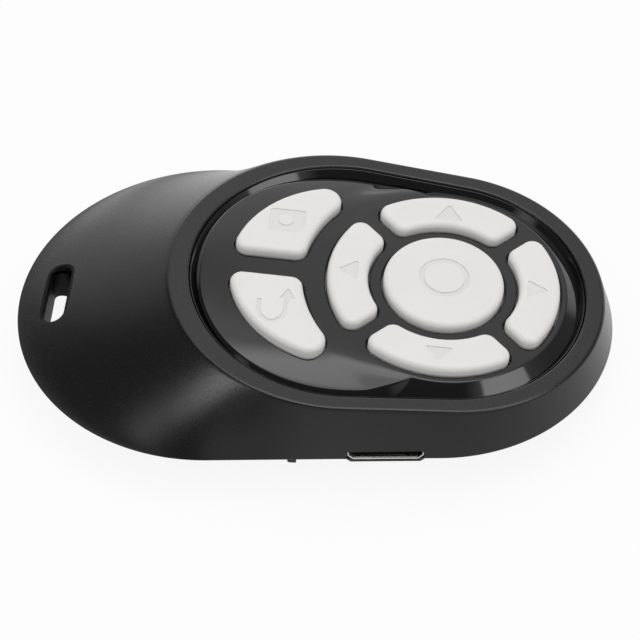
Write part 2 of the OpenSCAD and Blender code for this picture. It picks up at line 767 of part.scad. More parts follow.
trace_width = 0.4;
trace_height = 0.1;
trace_pitch = 1.6;
trace_turns = 6;
trace_depth = 2.2;
trace_margin = 1.2;
trace_x = nose_x + nose_radius - board_inset - trace_margin - trace_depth;
module antenna() {
    color([0.75, 0.5, 0.2]) translate([trace_x, -(trace_turns * trace_pitch + trace_width) / 2,
        board_bottom - trace_height]) linear_extrude(trace_height) {
            for (i = [0 : trace_turns]) translate([0, i * trace_pitch]) square([trace_depth, trace_width]);
            for (i = [0 : trace_turns - 1])
                translate([i % 2 == 0 ? trace_depth - trace_width : 0, i * trace_pitch])
                square([trace_width, trace_pitch + trace_width]);
        }
}

cross_width = 0.35;
module board_screws() {
    color([0.7, 0.7, 0.72]) for (s = screw_spots) translate([s[0], s[1], 0]) {
        translate([0, 0, board_top - screw_length]) cylinder(h = screw_length, r = screw_radius, $fn = 36);
        difference() {
            translate([0, 0, board_top]) cylinder(h = screw_head_height, r = screw_head_radius, $fn = 36);
            for (t = [0, quarter_turn]) rotate(t) translate([0, 0, board_top + screw_head_height])
                cube([screw_head_radius * 3 / 2, cross_width, screw_head_height], center = true);
        }
    }
}

top_shell();
faceplate();
bottom_cover();
key_ok();
key_up();
key_down();
key_left();
key_right();
key_camera();
key_back();
key_mat();
metal_domes();
circuit_board();
usb_shell();
usb_tongue();
switch_body();
switch_knob();
battery_cell();
battery_tape();
battery_leads();
bluetooth_chip();
charge_chip();
crystal();
passives();
antenna();
board_screws();
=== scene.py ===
import json
import math

import bmesh
import bpy
import numpy as np
from mathutils import Matrix, Vector


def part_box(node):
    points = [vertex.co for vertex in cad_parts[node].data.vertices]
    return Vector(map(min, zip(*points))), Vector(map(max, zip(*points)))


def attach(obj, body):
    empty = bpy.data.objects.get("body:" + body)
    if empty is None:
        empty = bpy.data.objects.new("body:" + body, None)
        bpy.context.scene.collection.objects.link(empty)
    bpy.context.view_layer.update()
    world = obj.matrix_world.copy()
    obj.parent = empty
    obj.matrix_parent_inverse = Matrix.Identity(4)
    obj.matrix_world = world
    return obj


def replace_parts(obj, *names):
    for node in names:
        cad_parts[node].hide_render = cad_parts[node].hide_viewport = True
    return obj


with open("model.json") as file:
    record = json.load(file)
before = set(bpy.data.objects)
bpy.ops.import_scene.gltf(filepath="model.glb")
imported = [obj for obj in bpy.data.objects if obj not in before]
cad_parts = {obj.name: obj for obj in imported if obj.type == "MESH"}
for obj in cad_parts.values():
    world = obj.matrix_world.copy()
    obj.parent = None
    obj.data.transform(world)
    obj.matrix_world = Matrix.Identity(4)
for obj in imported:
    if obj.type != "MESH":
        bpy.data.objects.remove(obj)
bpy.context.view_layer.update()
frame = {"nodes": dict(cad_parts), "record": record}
nodes = frame["nodes"]
MM = 0.001
sin, cos, pi = np.sin, np.cos, math.pi

# The part's own sizes in millimetres, as in its source.
# Body: two circles with their common tangents at the parting line, a tapered cover below it
TAIL_R, NOSE_R, SPACING = 20.5, 18.4, 23.5
LENGTH = TAIL_R + SPACING + NOSE_R
TAIL_X = TAIL_R - LENGTH / 2
NOSE_X = TAIL_X + SPACING
PARTING, COVER_INSET, COVER_STEP, WALL, FLOOR = 3.8, 3.2, 0.1, 1.4, 1.3

# Pod: a rim round two lobes, tilted about the ring lobe's middle
POD_SHIFT, POD_RISE = 0.62, 5.2
RING_X, RIM_Z, TILT = NOSE_X + POD_SHIFT, PARTING + POD_RISE, math.radians(4.4)
GAP, RIM_N, RIM_T, RIM_W = 10.25, 14.75, 15.9, 1.75
SHIFT_N, SHIFT_T, SWEEP = 0.2, 0.55, 1.425
SEAT, LEDGE_W, LEDGE_H = 1.7, 1.0, 0.8

# Plate, and the slopes and borders of its two lobes
RISE, PLATE_N, PLATE_T, THICK, FIT = 0.25, 12.75, 14.5, 1.35, 0.03
TAIL_REACH, TAIL_SQUARE = 0.3, 1.4
BORDER_W, BORDER_Z, SLOPE = 6.5, -0.62, 0.64

# Keys
KEY_GAP, KEY_H, KEY_ROUND = 0.2, 1.0, 0.6
KEY_TOP = RISE + KEY_H
FLANGE_GAP, FLANGE_W, FLANGE_H = 0.05, 0.6, 0.6
FLANGE_TOP = RISE - THICK - FLANGE_GAP
OK_R, ARROW_IN, ARROW_OUT, ARROW_SPACE, CORNER, TIP = 6.22, 7.8, 12.0, 1.9, 1.25, 1.75
SIDE_OUT, SIDE_IN, SIDE_Y = 11.86, 14.56, 1.55
POST_R, ARROW_SPOT, SIDE_SPOT = 1.8, 9.9, (-16.387, 5.099)

# Board, with the sheet, its pips, the travel and the gap left between it and a key's post
BOARD_DROP, BOARD_THICK = 0.45, 1.0
BOARD_MID = PARTING - BOARD_DROP
BOARD_TOP = BOARD_MID + BOARD_THICK / 2
MAT, PIP, TRAVEL, REST_GAP = 0.8, 0.4, 0.3, 0.02
POST_END = BOARD_TOP + MAT + PIP + TRAVEL + REST_GAP
SCREWS = ((-7.99, 9.04), (-7.99, -9.04), (8.1, 13.49))

# Lanyard slot, charging socket and switch knob
SLOT_IN, SLOT_W, SLOT_L = 4.15, 2.2, 7.6
SLOT_X = -LENGTH / 2 + SLOT_IN
SOCKET_W, SOCKET_H, SOCKET_L, SHEET, MOUTH_IN = 7.7, 2.5, 5.0, 0.25, 1.4
SOCKET_ALONG, KNOB_ALONG = 4.63, 14.02
SOCKET_X, KNOB_X = RING_X - SOCKET_ALONG, RING_X - KNOB_ALONG
KNOB_W, KNOB_H, KNOB_DROP, KNOB_TRAVEL = 0.9, 0.7, 1.65, 2.0

# For tools that cut right through: a height below the part, and a way out of it
BELOW, OUTSIDE = -1, 9


def lean(ca, ra, cb, rb):
    """Angle at which the common tangent touches the circles round ca and cb."""
    return math.acos((ra - rb) / (cb - ca))


NEAR = lean(TAIL_X, TAIL_R, NOSE_X, NOSE_R)


def wall_y(x):
    """Half width of the body at the parting line, where its side is straight."""
    return (TAIL_X * cos(NEAR) + TAIL_R - x * cos(NEAR)) / sin(NEAR)


SOCKET_FRONT = -wall_y(SOCKET_X) + MOUTH_IN


def hit(x, a, c, r):
    """Distance from x on the axis, at the angle a, to the circle of radius r round c."""
    d = c - x
    b = d * cos(a)
    q = b * b - d * d + r * r
    return np.where(q >= 0, b + np.sqrt(np.maximum(q, 0)), -1)


def reach(x, a, ca, ra, cb, rb, joined=True):
    """The same distance to the outline of two circles, joined by their tangents."""
    both = np.maximum(hit(x, a, ca, ra), hit(x, a, cb, rb))
    if not joined:
        return both
    f = lean(ca, ra, cb, rb)
    slant = cos(a) * cos(f) + abs(sin(a)) * sin(f)
    t = (ca * cos(f) + ra - x * cos(f)) / np.maximum(1e-6, slant)
    h = x + t * cos(a)
    return np.where((h >= ca + ra * cos(f)) & (h <= cb + rb * cos(f)), t, both)


def pod(p):
    """Points in the pod's own tilted frame, brought to the part's frame."""
    p = np.asarray(p, float)
    x, y, z = p[..., 0], p[..., 1], p[..., 2]
    return np.stack([RING_X + x * cos(TILT) + z * sin(TILT), y,
                     RIM_Z - x * sin(TILT) + z * cos(TILT)], -1)


# All rings are drawn round one line: MID on the pod, CENTRE on the body
MID = -GAP / 2
CENTRE = RING_X + MID * cos(TILT)


def base_reach(a, inset):
    return reach(CENTRE, a, TAIL_X, TAIL_R - inset, NOSE_X, NOSE_R - inset)


def rim_outer(a, inset):
    return reach(MID, a, -GAP - SHIFT_T, RIM_T + RIM_W - inset, SHIFT_N, RIM_N + RIM_W - inset)


def rim_inner(a, inset):
    return reach(MID, a, -GAP, RIM_T - inset, 0, RIM_N - inset)


def plateau(a, nose, tail):
    return reach(MID, a, -GAP, tail, 0, nose, joined=False)


def on_pod(a, r, z):
    return pod(np.stack([MID + r * cos(a), r * sin(a), np.zeros_like(a) + z], -1))


LONGEST = RING_X + MID + LENGTH / 2 - (RIM_T + RIM_W + GAP / 2 + SHIFT_T)


def sweep(rb, rr):
    """Power of the skin's curve: 1 where the body is upright, more towards the tail."""
    return 1 + (SWEEP - 1) * np.maximum(0, rb - rr) / LONGEST


def skin(a, u, inset=0, drop=0):
    """Body skin between the parting line, u = 0, and the rim, u = 1, moved in and down."""
    rb, rr = base_reach(a, inset), rim_outer(a, inset)
    xr = MID + rr * cos(a)
    top = RIM_Z - xr * sin(TILT) - drop
    xa, xb = CENTRE + rb * cos(a), RING_X + xr * cos(TILT)
    u = np.zeros_like(a) + u
    return np.stack([xa + (xb - xa) * u, rb * sin(a) + (rr - rb) * sin(a) * u,
                     PARTING + (top - PARTING) * u ** sweep(rb, rr)], -1)


def skin_height(x, y):
    """Height of the body's skin over a point of the plan."""
    a, r = np.arctan2(y, x - CENTRE), np.hypot(y, x - CENTRE)
    rb, rr = base_reach(a, 0), rim_outer(a, 0)
    top = RIM_Z - (MID + rr * cos(a)) * sin(TILT)
    u = np.clip((rb - r) / (rb - rr), 0, 1)
    return PARTING + (top - PARTING) * u ** sweep(rb, rr)


def toward(p, q, d):
    """The points d away from p on the way to q."""
    v = q - p
    return p + v * (d / np.maximum(1e-9, np.linalg.norm(v, axis=-1, keepdims=True)))


def bend(p, c, q, steps):
    """Rounded corner from p to q with its corner at c, ends left out."""
    t = [(k + 1) / (steps + 1) for k in range(steps)]
    return [p * (1 - s) ** 2 + c * 2 * s * (1 - s) + q * s**2 for s in t]


# Meshes: creases over SOFT degrees stay sharp, on moulded pieces over HARD and on the plate
# over FINE
SOFT, HARD, FINE = 32, 40, 30


def add(name, bm, material, angle=SOFT):
    bmesh.ops.recalc_face_normals(bm, faces=bm.faces)
    me = bpy.data.meshes.new(name)
    bm.to_mesh(me)
    bm.free()
    o = bpy.data.objects.new(name, me)
    bpy.context.scene.collection.objects.link(o)
    for m in material if isinstance(material, list) else [material]:
        me.materials.append(m)
    smooth(o, angle)
    return o


def smooth(o, angle):
    for p in o.data.polygons:
        p.use_smooth = True
    o.data.set_sharp_from_angle(angle=math.radians(angle))


def loft(rings, closed=False):
    """A skin through rings of the same number of points, in millimetres."""
    bm = bmesh.new()
    rows = [[bm.verts.new(tuple(float(c) * MM for c in p)) for p in ring] for ring in rings]
    n, pairs = len(rows[0]), list(zip(rows, rows[1:]))
    if closed:
        pairs.append((rows[-1], rows[0]))
    for lo, hi in pairs:
        for i in range(n):
            j = (i + 1) % n
            bm.faces.new((lo[i], lo[j], hi[j], hi[i]))
    if not closed:
        bm.faces.new(rows[0][::-1])
        bm.faces.new(rows[-1])
    return bm


def boolean(o, tool, kind="DIFFERENCE", angle=HARD):
    """Cuts, joins or intersects o with the tool, which is used up."""
    m = o.modifiers.new("cut", "BOOLEAN")
    m.operation, m.object, m.solver = kind, tool, "EXACT"
    m.material_mode = "TRANSFER"
    with bpy.context.temp_override(object=o, active_object=o):
        bpy.ops.object.modifier_apply(modifier=m.name)
    bpy.data.objects.remove(tool)
    smooth(o, angle)


def block(lo, hi, material, round_by=0.0, name="tool"):
    """A box between two corners in millimetres, with its edges rounded."""
    bm = bmesh.new()
    bmesh.ops.create_cube(bm, size=1)
    for v in bm.verts:
        v.co = Vector(lo[i] + (hi[i] - lo[i]) * (v.co[i] + 0.5) for i in range(3)) * MM
    if round_by:
        bmesh.ops.bevel(bm, geom=bm.edges[:], offset=round_by * MM, segments=3, affect="EDGES",
                        profile=0.5)
    return add(name, bm, material)


def tube(c, r, z0, z1, material, n):
    ring = arc(c, r, 0, 360, n + 1)[:-1]
    return add("tool", loft([at(ring, z0), at(ring, z1)]), material)


# Outlines


def arc(c, r, a0, a1, n):
    t = np.radians(np.linspace(a0, a1, n))
    return np.stack([c[0] + r * cos(t), c[1] + r * sin(t)], -1)


def outline(*runs):
    """One closed outline of several runs of points, without the doubled ones."""
    p = np.vstack(runs)
    keep = np.linalg.norm(p - np.roll(p, 1, 0), axis=1) > 1e-4
    return p[keep]


def grow(p, d):
    """An outline, drawn anticlockwise, moved outwards by d."""
    e = np.roll(p, -1, 0) - p
    n = np.stack([e[:, 1], -e[:, 0]], -1)
    n /= np.linalg.norm(n, axis=1, keepdims=True)
    m = n + np.roll(n, 1, 0)
    m /= np.linalg.norm(m, axis=1, keepdims=True)
    k = np.sum(m * n, 1, keepdims=True)
    return p + m * d / np.maximum(k, 0.5)


def turned(p, degrees):
    t = math.radians(degrees)
    return p @ np.array([[math.cos(t), math.sin(t)], [-math.sin(t), math.cos(t)]])


def mirrored(p):
    return p[::-1] * [1, -1]


def at(p, z):
    return np.column_stack([p, np.zeros(len(p)) + z])


def rounded(corners, radius, n=8):
    """Closed outline of straight sides with round corners, drawn anticlockwise."""
    q, out = np.array(corners, float), []
    for i, p in enumerate(q):
        r = radius[i] if isinstance(radius, (list, tuple)) else radius
        u, v = q[i - 1] - p, q[(i + 1) % len(q)] - p
        u, v = u / np.linalg.norm(u), v / np.linalg.norm(v)
        half = math.acos(max(-1, min(1, float(u @ v)))) / 2
        d, w = r / math.tan(half), (u + v) / np.linalg.norm(u + v)
        c = p + w * r / math.sin(half)
        s, e = p + u * d - c, p + v * d - c
        a0 = math.atan2(s[1], s[0])
        da = (math.atan2(e[1], e[0]) - a0 + pi) % (2 * pi) - pi
        out.append(arc(c, r, math.degrees(a0), math.degrees(a0 + da), n))
    return outline(*out)


def meet(c1, r1, c2, r2):
    """Upper crossing of two circles with their middles on the axis."""
    x = (c1 * c1 - c2 * c2 - r1 * r1 + r2 * r2) / (2 * (c1 - c2))
    return np.array([x, math.sqrt(r1 * r1 - (x - c1) ** 2)])


# Materials: the waves of the colour lie 1 / COLOUR_SCALE apart, the bumps are BUMP_SHARE of the
# grain high
COLOUR_SCALE, COLOUR_ROUGH, COLOUR_RANGE = 160, 0.6, (0.35, 0.65)
GRAIN_ROUGH, GRAIN_RANGE, BUMP_SHARE = 0.65, (0.3, 0.7), 0.35


def node_mat(name):
    m = bpy.data.materials.new(name)
    m.use_nodes = True
    t = m.node_tree
    return m, t, t.nodes["Principled BSDF"]


def noise(t, scale, rough, where):
    n = t.nodes.new("ShaderNodeTexNoise")
    n.inputs["Scale"].default_value = scale
    n.inputs["Detail"].default_value = 3
    n.inputs["Roughness"].default_value = rough
    t.links.new(where.outputs["Object"], n.inputs["Vector"])
    return n.outputs["Fac"]


def ramp(t, source, low, high, a, b):
    """A value that goes from a to b while the source goes from low to high."""
    r = t.nodes.new("ShaderNodeMapRange")
    r.inputs["From Min"].default_value, r.inputs["From Max"].default_value = low, high
    r.inputs["To Min"].default_value, r.inputs["To Max"].default_value = a, b
    t.links.new(source, r.inputs["Value"])
    return r.outputs["Result"]


def surface(name, colour, spread, rough, rough_spread, grain, depth, metallic=0, specular=0.5):
    """Slightly uneven colour and gloss, with a fine grain in mm: moulded plastic or metal."""
    m, t, b = node_mat(name)
    where = t.nodes.new("ShaderNodeTexCoord")
    wide = noise(t, COLOUR_SCALE, COLOUR_ROUGH, where)
    close = noise(t, 1 / (grain * MM), GRAIN_ROUGH, where)
    mix = t.nodes.new("ShaderNodeMix")
    mix.data_type = "RGBA"
    mix.inputs["A"].default_value = (*[c * (1 - spread) for c in colour], 1)
    mix.inputs["B"].default_value = (*[c * (1 + spread) for c in colour], 1)
    t.links.new(ramp(t, wide, *COLOUR_RANGE, 0, 1), mix.inputs["Factor"])
    t.links.new(mix.outputs["Result"], b.inputs["Base Color"])
    gloss = ramp(t, close, *GRAIN_RANGE, rough - rough_spread, rough + rough_spread)
    t.links.new(gloss, b.inputs["Roughness"])
    bump = t.nodes.new("ShaderNodeBump")
    bump.inputs["Strength"].default_value = depth
    bump.inputs["Distance"].default_value = grain * BUMP_SHARE * MM
    t.links.new(close, bump.inputs["Height"])
    t.links.new(bump.outputs["Normal"], b.inputs["Normal"])
    b.inputs["Metallic"].default_value = metallic
    b.inputs["Specular IOR Level"].default_value = specular
    return m


# Name, colour, its spread, roughness, its spread, grain in mm, strength of the grain
PLASTICS = (
    ("shell_black", (0.0042, 0.0040, 0.0041), 0.08, 0.25, 0.04, 0.16, 0.22),
    ("cover_black", (0.0045, 0.0044, 0.0045), 0.08, 0.34, 0.05, 0.2, 0.4),
    ("plate_gloss", (0.0058, 0.0056, 0.0060), 0.05, 0.05, 0.015, 1.2, 0.006),
    ("key_white", (0.72, 0.712, 0.7), 0.01, 0.42, 0.05, 0.25, 0.06),
    # key_symbol is a little darker than key_white: painted shade for the pressed-in symbols
    ("key_symbol", (0.685, 0.678, 0.666), 0.012, 0.5, 0.05, 0.25, 0.06),
    ("silicone", (0.42, 0.43, 0.45), 0.04, 0.55, 0.05, 0.3, 0.3),
    ("board_green", (0.012, 0.085, 0.04), 0.15, 0.32, 0.05, 0.3, 0.25),
    ("socket_plastic", (0.012, 0.012, 0.012), 0.1, 0.4, 0.05, 0.2, 0.3),
    ("knob_black", (0.006, 0.006, 0.0065), 0.1, 0.45, 0.06, 0.2, 0.4),
    ("foam_tape", (0.03, 0.03, 0.03), 0.2, 0.85, 0.08, 0.4, 0.9),
    ("lead_plastic", (0.35, 0.02, 0.02), 0.08, 0.45, 0.05, 0.3, 0.2),
    ("chip_black", (0.02, 0.02, 0.021), 0.1, 0.5, 0.06, 0.2, 0.5),
    ("passive_ceramic", (0.34, 0.22, 0.13), 0.12, 0.5, 0.06, 0.3, 0.3),
)
METALS = (
    ("dome_steel", (0.62, 0.63, 0.65), 0.06, 0.28, 0.06, 0.1, 0.15),
    ("socket_steel", (0.78, 0.77, 0.75), 0.06, 0.2, 0.06, 0.1, 0.15),
    ("switch_steel", (0.6, 0.6, 0.62), 0.06, 0.3, 0.06, 0.1, 0.15),
    ("battery_foil", (0.66, 0.67, 0.69), 0.06, 0.3, 0.06, 0.6, 0.4),
    ("crystal_can", (0.7, 0.7, 0.68), 0.06, 0.25, 0.06, 0.1, 0.15),
    ("copper", (0.72, 0.42, 0.2), 0.06, 0.3, 0.06, 0.1, 0.15),
    ("screw_steel", (0.5, 0.5, 0.52), 0.06, 0.28, 0.06, 0.1, 0.15),
)
MATS = {row[0]: surface(*row) for row in PLASTICS}
MATS.update({row[0]: surface(*row, metallic=1) for row in METALS})
SHELL, COVER, WHITE, SHADED_SYMBOL = [MATS[n] for n in ("shell_black", "cover_black", "key_white",
                                                 "key_symbol")]
# Painted shade in the lanyard slot: its walls take a darker, less glossy copy of the shell plastic
SLOT_WALL_SHADE = surface("slot_wall_painted_shade", (0.0035, 0.0034, 0.0035), 0.08, 0.5, 0.04, 0.16, 0.22,
                    specular=0.12)

slots = {s["node"]: s["material_slot"] for s in frame["record"]["subparts"]}
for n, o in nodes.items():
    o.data.materials.clear()
    o.data.materials.append(MATS[slots[n]])

# Top shell: round edges of its lower rim, of the pod's rim and of the lip over the plate, and
# the flat left between two round edges
COUNT, SKIN_STEPS, INNER_STEPS = 480, 40, 10
LOW_EDGE, TOP_EDGE, LIP_EDGE, FLAT_OUT, FLAT_IN = 0.22, 0.3, 0.3, 0.12, 0.1
A = np.linspace(0, 2 * pi, COUNT, endpoint=False)
run_length = np.linalg.norm(skin(A, 1) - skin(A, 0), axis=1)


def shell_rings():
    """Section of the shell: out at the parting line, up the skin, over the rim and back inside."""
    inside, corner = skin(A, 0, WALL), skin(A, 0)
    start, last = LOW_EDGE / run_length, 1 - TOP_EDGE / run_length
    low, first = toward(corner, inside, LOW_EDGE), skin(A, start)
    out = [inside, low, *bend(low, corner, first, 3), first]
    out += [skin(A, start + (last - start) * k / SKIN_STEPS) for k in range(1, SKIN_STEPS + 1)]
    edge, mouth = skin(A, 1), on_pod(A, rim_inner(A, 0), 0)
    after = toward(edge, mouth, TOP_EDGE)
    out += [*bend(out[-1], edge, after, 4), after]
    before, lip = on_pod(A, rim_inner(A, -LIP_EDGE), 0), on_pod(A, rim_inner(A, 0), -LIP_EDGE)
    out += [toward(after, before, FLAT_OUT), toward(before, after, FLAT_IN), before]
    out += [*bend(before, mouth, lip, 5), lip]
    out += [on_pod(A, rim_inner(A, 0), -SEAT), on_pod(A, rim_inner(A, LEDGE_W), -SEAT)]
    under = SEAT + LEDGE_H
    out += [on_pod(A, rim_inner(A, LEDGE_W), -under)]
    out += [skin(A, 1 - k / INNER_STEPS, WALL, under) for k in range(INNER_STEPS)]
    return out


def stadium(d, n=24):
    r, h = SLOT_W / 2 + d, (SLOT_L - SLOT_W) / 2
    return outline(arc((SLOT_X, h), r, 0, 180, n), arc((SLOT_X, -h), r, 180, 360, n))


SLOT_EDGE, SLOT_EDGE_STEPS, SLOT_FLARE, SLOT_LIFT = 0.4, 6, 0.25, 0.35


def slot_tool(bottom):
    """The lanyard slot with the round edge that it has in the skin."""
    rings = [at(stadium(0), bottom)]
    for k in range(SLOT_EDGE_STEPS + 1):
        t = k / SLOT_EDGE_STEPS * pi / 2
        p = stadium(SLOT_EDGE * (1 - math.cos(t)))
        rings.append(at(p, skin_height(p[:, 0], p[:, 1]) - SLOT_EDGE * (1 - math.sin(t))))
    p = stadium(SLOT_EDGE + SLOT_FLARE)
    rings += [at(p, skin_height(p[:, 0], p[:, 1]) + SLOT_LIFT), at(p, OUTSIDE)]
    # The cut walls of the slot take the darker plastic, painted shade
    return add("tool", loft(rings), SLOT_WALL_SHADE)


SOCKET_SLANT, SOCKET_ROUND = 0.6, 0.35
SHELL_FIT, SHELL_BACK, COVER_FIT, COVER_BACK = 0.06, 1.0, 0.04, 0.1


def port_line(w, low, high, slant, radius):
    """A port's outline: a box whose two lower corners are cut off."""
    corners = [(-w + slant, low), (w - slant, low), (w, low + slant), (w, high), (-w, high),
               (-w, low + slant)]
    return rounded(corners, radius, 6)


def socket_outline(d):
    line = port_line(SOCKET_W / 2, -SOCKET_H / 2, SOCKET_H / 2, SOCKET_SLANT, SOCKET_ROUND)
    return grow(line, d)


def along_y(p, y):
    """An outline in the port's plane, placed at depth y and parallel to the near wall."""
    return np.column_stack([SOCKET_X + p[:, 0], y + p[:, 0] / math.tan(NEAR), BOARD_MID + p[:, 1]])


def socket_tool(fit, back):
    """Opening for the socket, from outside the body to a little behind the socket."""
    line = socket_outline(fit)
    ends = SOCKET_FRONT - OUTSIDE, SOCKET_FRONT + SOCKET_L + back
    return add("tool", loft([along_y(line, y) for y in ends]), SHELL)


shell = add("shell", loft(shell_rings(), closed=True), SHELL, HARD)
boolean(shell, slot_tool(0))
boolean(shell, socket_tool(SHELL_FIT, SHELL_BACK))
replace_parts(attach(shell, "housing"), "top_shell")

# Bottom cover: a tray with a lip that stands inside the shell, under the pod's ledge
FOOT_R, SIDE_Z, TOP_CUT, TOP_IN = 0.9, (1.6, 2.4, 3.2), 0.12, 0.1
LIP_GAP, LIP_OUT, LIP_H, LIP_LOW, LIP_SHARE, LIP_CLEAR = 0.1, 0.8, 0.8, 0.01, 0.55, 0.05
LIP_REACH, LIP_FOOT, TRAY_STEP = 0.72, 0.7, 0.2


def cover_ring(inset, z):
    r = base_reach(A, inset)
    return np.stack([CENTRE + r * cos(A), r * sin(A), np.zeros_like(A) + z], -1)


def side_inset(z):
    """How far the cover's tapered side lies inside the body at the height z."""
    return COVER_INSET + (COVER_STEP - COVER_INSET) * z / PARTING


def cover_rings():
    start, end = cover_ring(COVER_INSET + FOOT_R, 0), cover_ring(side_inset(FOOT_R), FOOT_R)
    out = [start, *bend(start, cover_ring(COVER_INSET, 0), end, 6), end]
    out += [cover_ring(side_inset(z), z) for z in (*SIDE_Z, PARTING - TOP_CUT)]
    out += [cover_ring(COVER_STEP + TOP_IN, PARTING), cover_ring(WALL + LIP_GAP, PARTING)]
    rb, rr = base_reach(A, WALL), rim_outer(A, WALL)
    share = np.clip(LIP_REACH / (rb - rr), 0, 1) ** sweep(rb, rr)
    room = (RIM_Z - SEAT - LEDGE_H - PARTING) * share
    lip = np.clip(room - LIP_CLEAR, LIP_LOW, LIP_H)
    outer, inner = cover_ring(WALL + 2 * LIP_GAP, PARTING), cover_ring(WALL + LIP_OUT, PARTING)
    outer[:, 2] += np.minimum(lip, LIP_SHARE * room)
    inner[:, 2] += lip
    out += [outer, inner, cover_ring(WALL + LIP_OUT, PARTING - LIP_FOOT)]
    out += [cover_ring(WALL + side_inset(FLOOR) + TRAY_STEP, FLOOR)]
    return out


cover = add("cover", loft(cover_rings()), COVER, HARD)

# Solid tail round the lanyard slot, a little inside the cover's own side
TAIL_IN, TAIL_FOOT, TAIL_LOW, TAIL_HIGH = 0.05, 1, 0.05, PARTING - 0.15
tail_rings = [cover_ring(COVER_INSET + TAIL_FOOT, TAIL_LOW)]
tail_rings += [cover_ring(side_inset(z) + TAIL_IN, z) for z in (FOOT_R, TAIL_HIGH)]
tail_block = add("tool", loft(tail_rings), COVER)
corner = (SLOT_X + SLOT_W / 2 + WALL, SLOT_L / 2 + WALL)
boolean(tail_block, block((-LENGTH, -corner[1], BELOW), (*corner, OUTSIDE), COVER),
        "INTERSECT", SOFT)
boolean(cover, tail_block, "UNION")

# Screw bosses
BOSS_R, BOSS_LOW, BOSS_HOLE, HOLE_LOW, HOLE_HIGH = 1.6, 0.5, 0.7, 1.5, 5
for spot in SCREWS:
    boolean(cover, tube(spot, BOSS_R, BOSS_LOW, BOARD_TOP - BOARD_THICK, COVER, 32), "UNION")
    boolean(cover, tube(spot, BOSS_HOLE, HOLE_LOW, HOLE_HIGH, COVER, 24))

# Surround of the port, which shows under the shell, and the slot of the knob
PORT_W, PORT_LOW, PORT_HIGH, PORT_SLANT = 4.25, -1.6, 0.45, 0.7
PORT_OUT, PORT_EDGE, PORT_IN, PORT_ROUND, PORT_SHARP = 0.05, 0.08, 1.6, 0.3, 0.02
front = port_line(PORT_W, PORT_LOW, PORT_HIGH, PORT_SLANT,
                  [*[PORT_ROUND] * 3, *[PORT_SHARP] * 2, PORT_ROUND])
surround = [along_y(grow(front, -PORT_EDGE), SOCKET_FRONT - PORT_OUT),
            along_y(front, SOCKET_FRONT + PORT_OUT), along_y(front, SOCKET_FRONT + PORT_IN)]
boolean(cover, add("tool", loft(surround), COVER), "UNION")
boolean(cover, socket_tool(COVER_FIT, COVER_BACK))
KNOB_SIDE, KNOB_ROOM, KNOB_ROUND, KNOB_Y = 0.3, 0.15, 0.12, (-22, -12)
knob_z, knob_h = PARTING - KNOB_DROP, KNOB_H / 2 + KNOB_ROOM
left, right = KNOB_X - KNOB_W / 2 - KNOB_SIDE, KNOB_X + KNOB_W / 2 + KNOB_TRAVEL + KNOB_SIDE
boolean(cover, block((left, KNOB_Y[0], knob_z - knob_h), (right, KNOB_Y[1], knob_z + knob_h),
                     COVER, KNOB_ROUND))
boolean(cover, slot_tool(BELOW))
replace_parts(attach(cover, "housing"), "bottom_cover")

# Charging socket: folded sheet with a slightly flared mouth. Its inner walls, a little behind the
# mouth, take the dark socket plastic as painted shade
FLARE = ((0.45, 0), (0.14, 0.05), (0.02, 0.1))
FACE, FOLD, STOP, PAINTED_SHADE_FROM, TAB = 0.06, 0.08, 0.6, 0.3, 0.6


def socket_rings():
    back = SOCKET_FRONT + SOCKET_L
    out = [along_y(socket_outline(-SHEET), back - STOP)]
    out += [along_y(socket_outline(-SHEET + wider), SOCKET_FRONT + y) for y, wider in FLARE]
    out += [along_y(socket_outline(-FACE), SOCKET_FRONT)]
    return out + [along_y(socket_outline(0), y) for y in (SOCKET_FRONT + FOLD, back)]


socket = add("socket", loft(socket_rings()), [MATS["socket_steel"], MATS["socket_plastic"]], HARD)
# Inward faces of the sheet behind the mouth: painted shade, with the dark plastic
for f in socket.data.polygons:
    x, y, z = [v / MM for v in f.center]
    inward = (SOCKET_X - x) * f.normal.x + (BOARD_MID - z) * f.normal.z > 0
    if inward and y > SOCKET_FRONT + (x - SOCKET_X) / math.tan(NEAR) + PAINTED_SHADE_FROM:
        f.material_index = 1
for side in (-1, 1):
    x = SOCKET_X + side * (SOCKET_W / 2 + 2 * SHEET)
    y = SOCKET_FRONT + SOCKET_L / 2
    tab = block((x - 2 * SHEET, y - TAB, BOARD_TOP), (x + 2 * SHEET, y + TAB, BOARD_TOP + SHEET),
                MATS["socket_steel"])
    boolean(socket, tab, "UNION")
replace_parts(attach(socket, "housing"), "usb_shell")

# Switch knob
lo, hi = [Vector(v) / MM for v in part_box("switch_knob")]
knob = block(lo, hi, MATS["knob_black"], KNOB_ROUND, "knob")
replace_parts(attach(knob, "power_knob"), "switch_knob")

# Key outlines


def arrow_line():
    """A quarter of the ring with straight ends and round corners, pointing along x."""
    ri, ro, c, s = ARROW_IN, ARROW_OUT, CORNER, ARROW_SPACE / 2
    q = math.sqrt(0.5)
    outer, inner = [math.sqrt(r * r - (s + c) ** 2) for r in (ro - c, ri + c)]
    co, ci = [np.array([d * q + (s + c) * q, d * q - (s + c) * q]) for d in (outer, inner)]
    ao, ai = [math.degrees(math.atan2(p[1], p[0])) for p in (co, ci)]
    half = [arc((0, 0), ro, 0, ao, 40), arc(co, c, ao, 135, 16)]
    a, b = half[-1][-1], arc(ci, c, 135, 180 + ai, 16)
    half += [[a + (b[0] - a) * k / 8 for k in range(1, 8)], b, arc((0, 0), ri, ai, 0, 30)]
    top = np.vstack(half)
    return outline(top, top[::-1] * [1, -1])


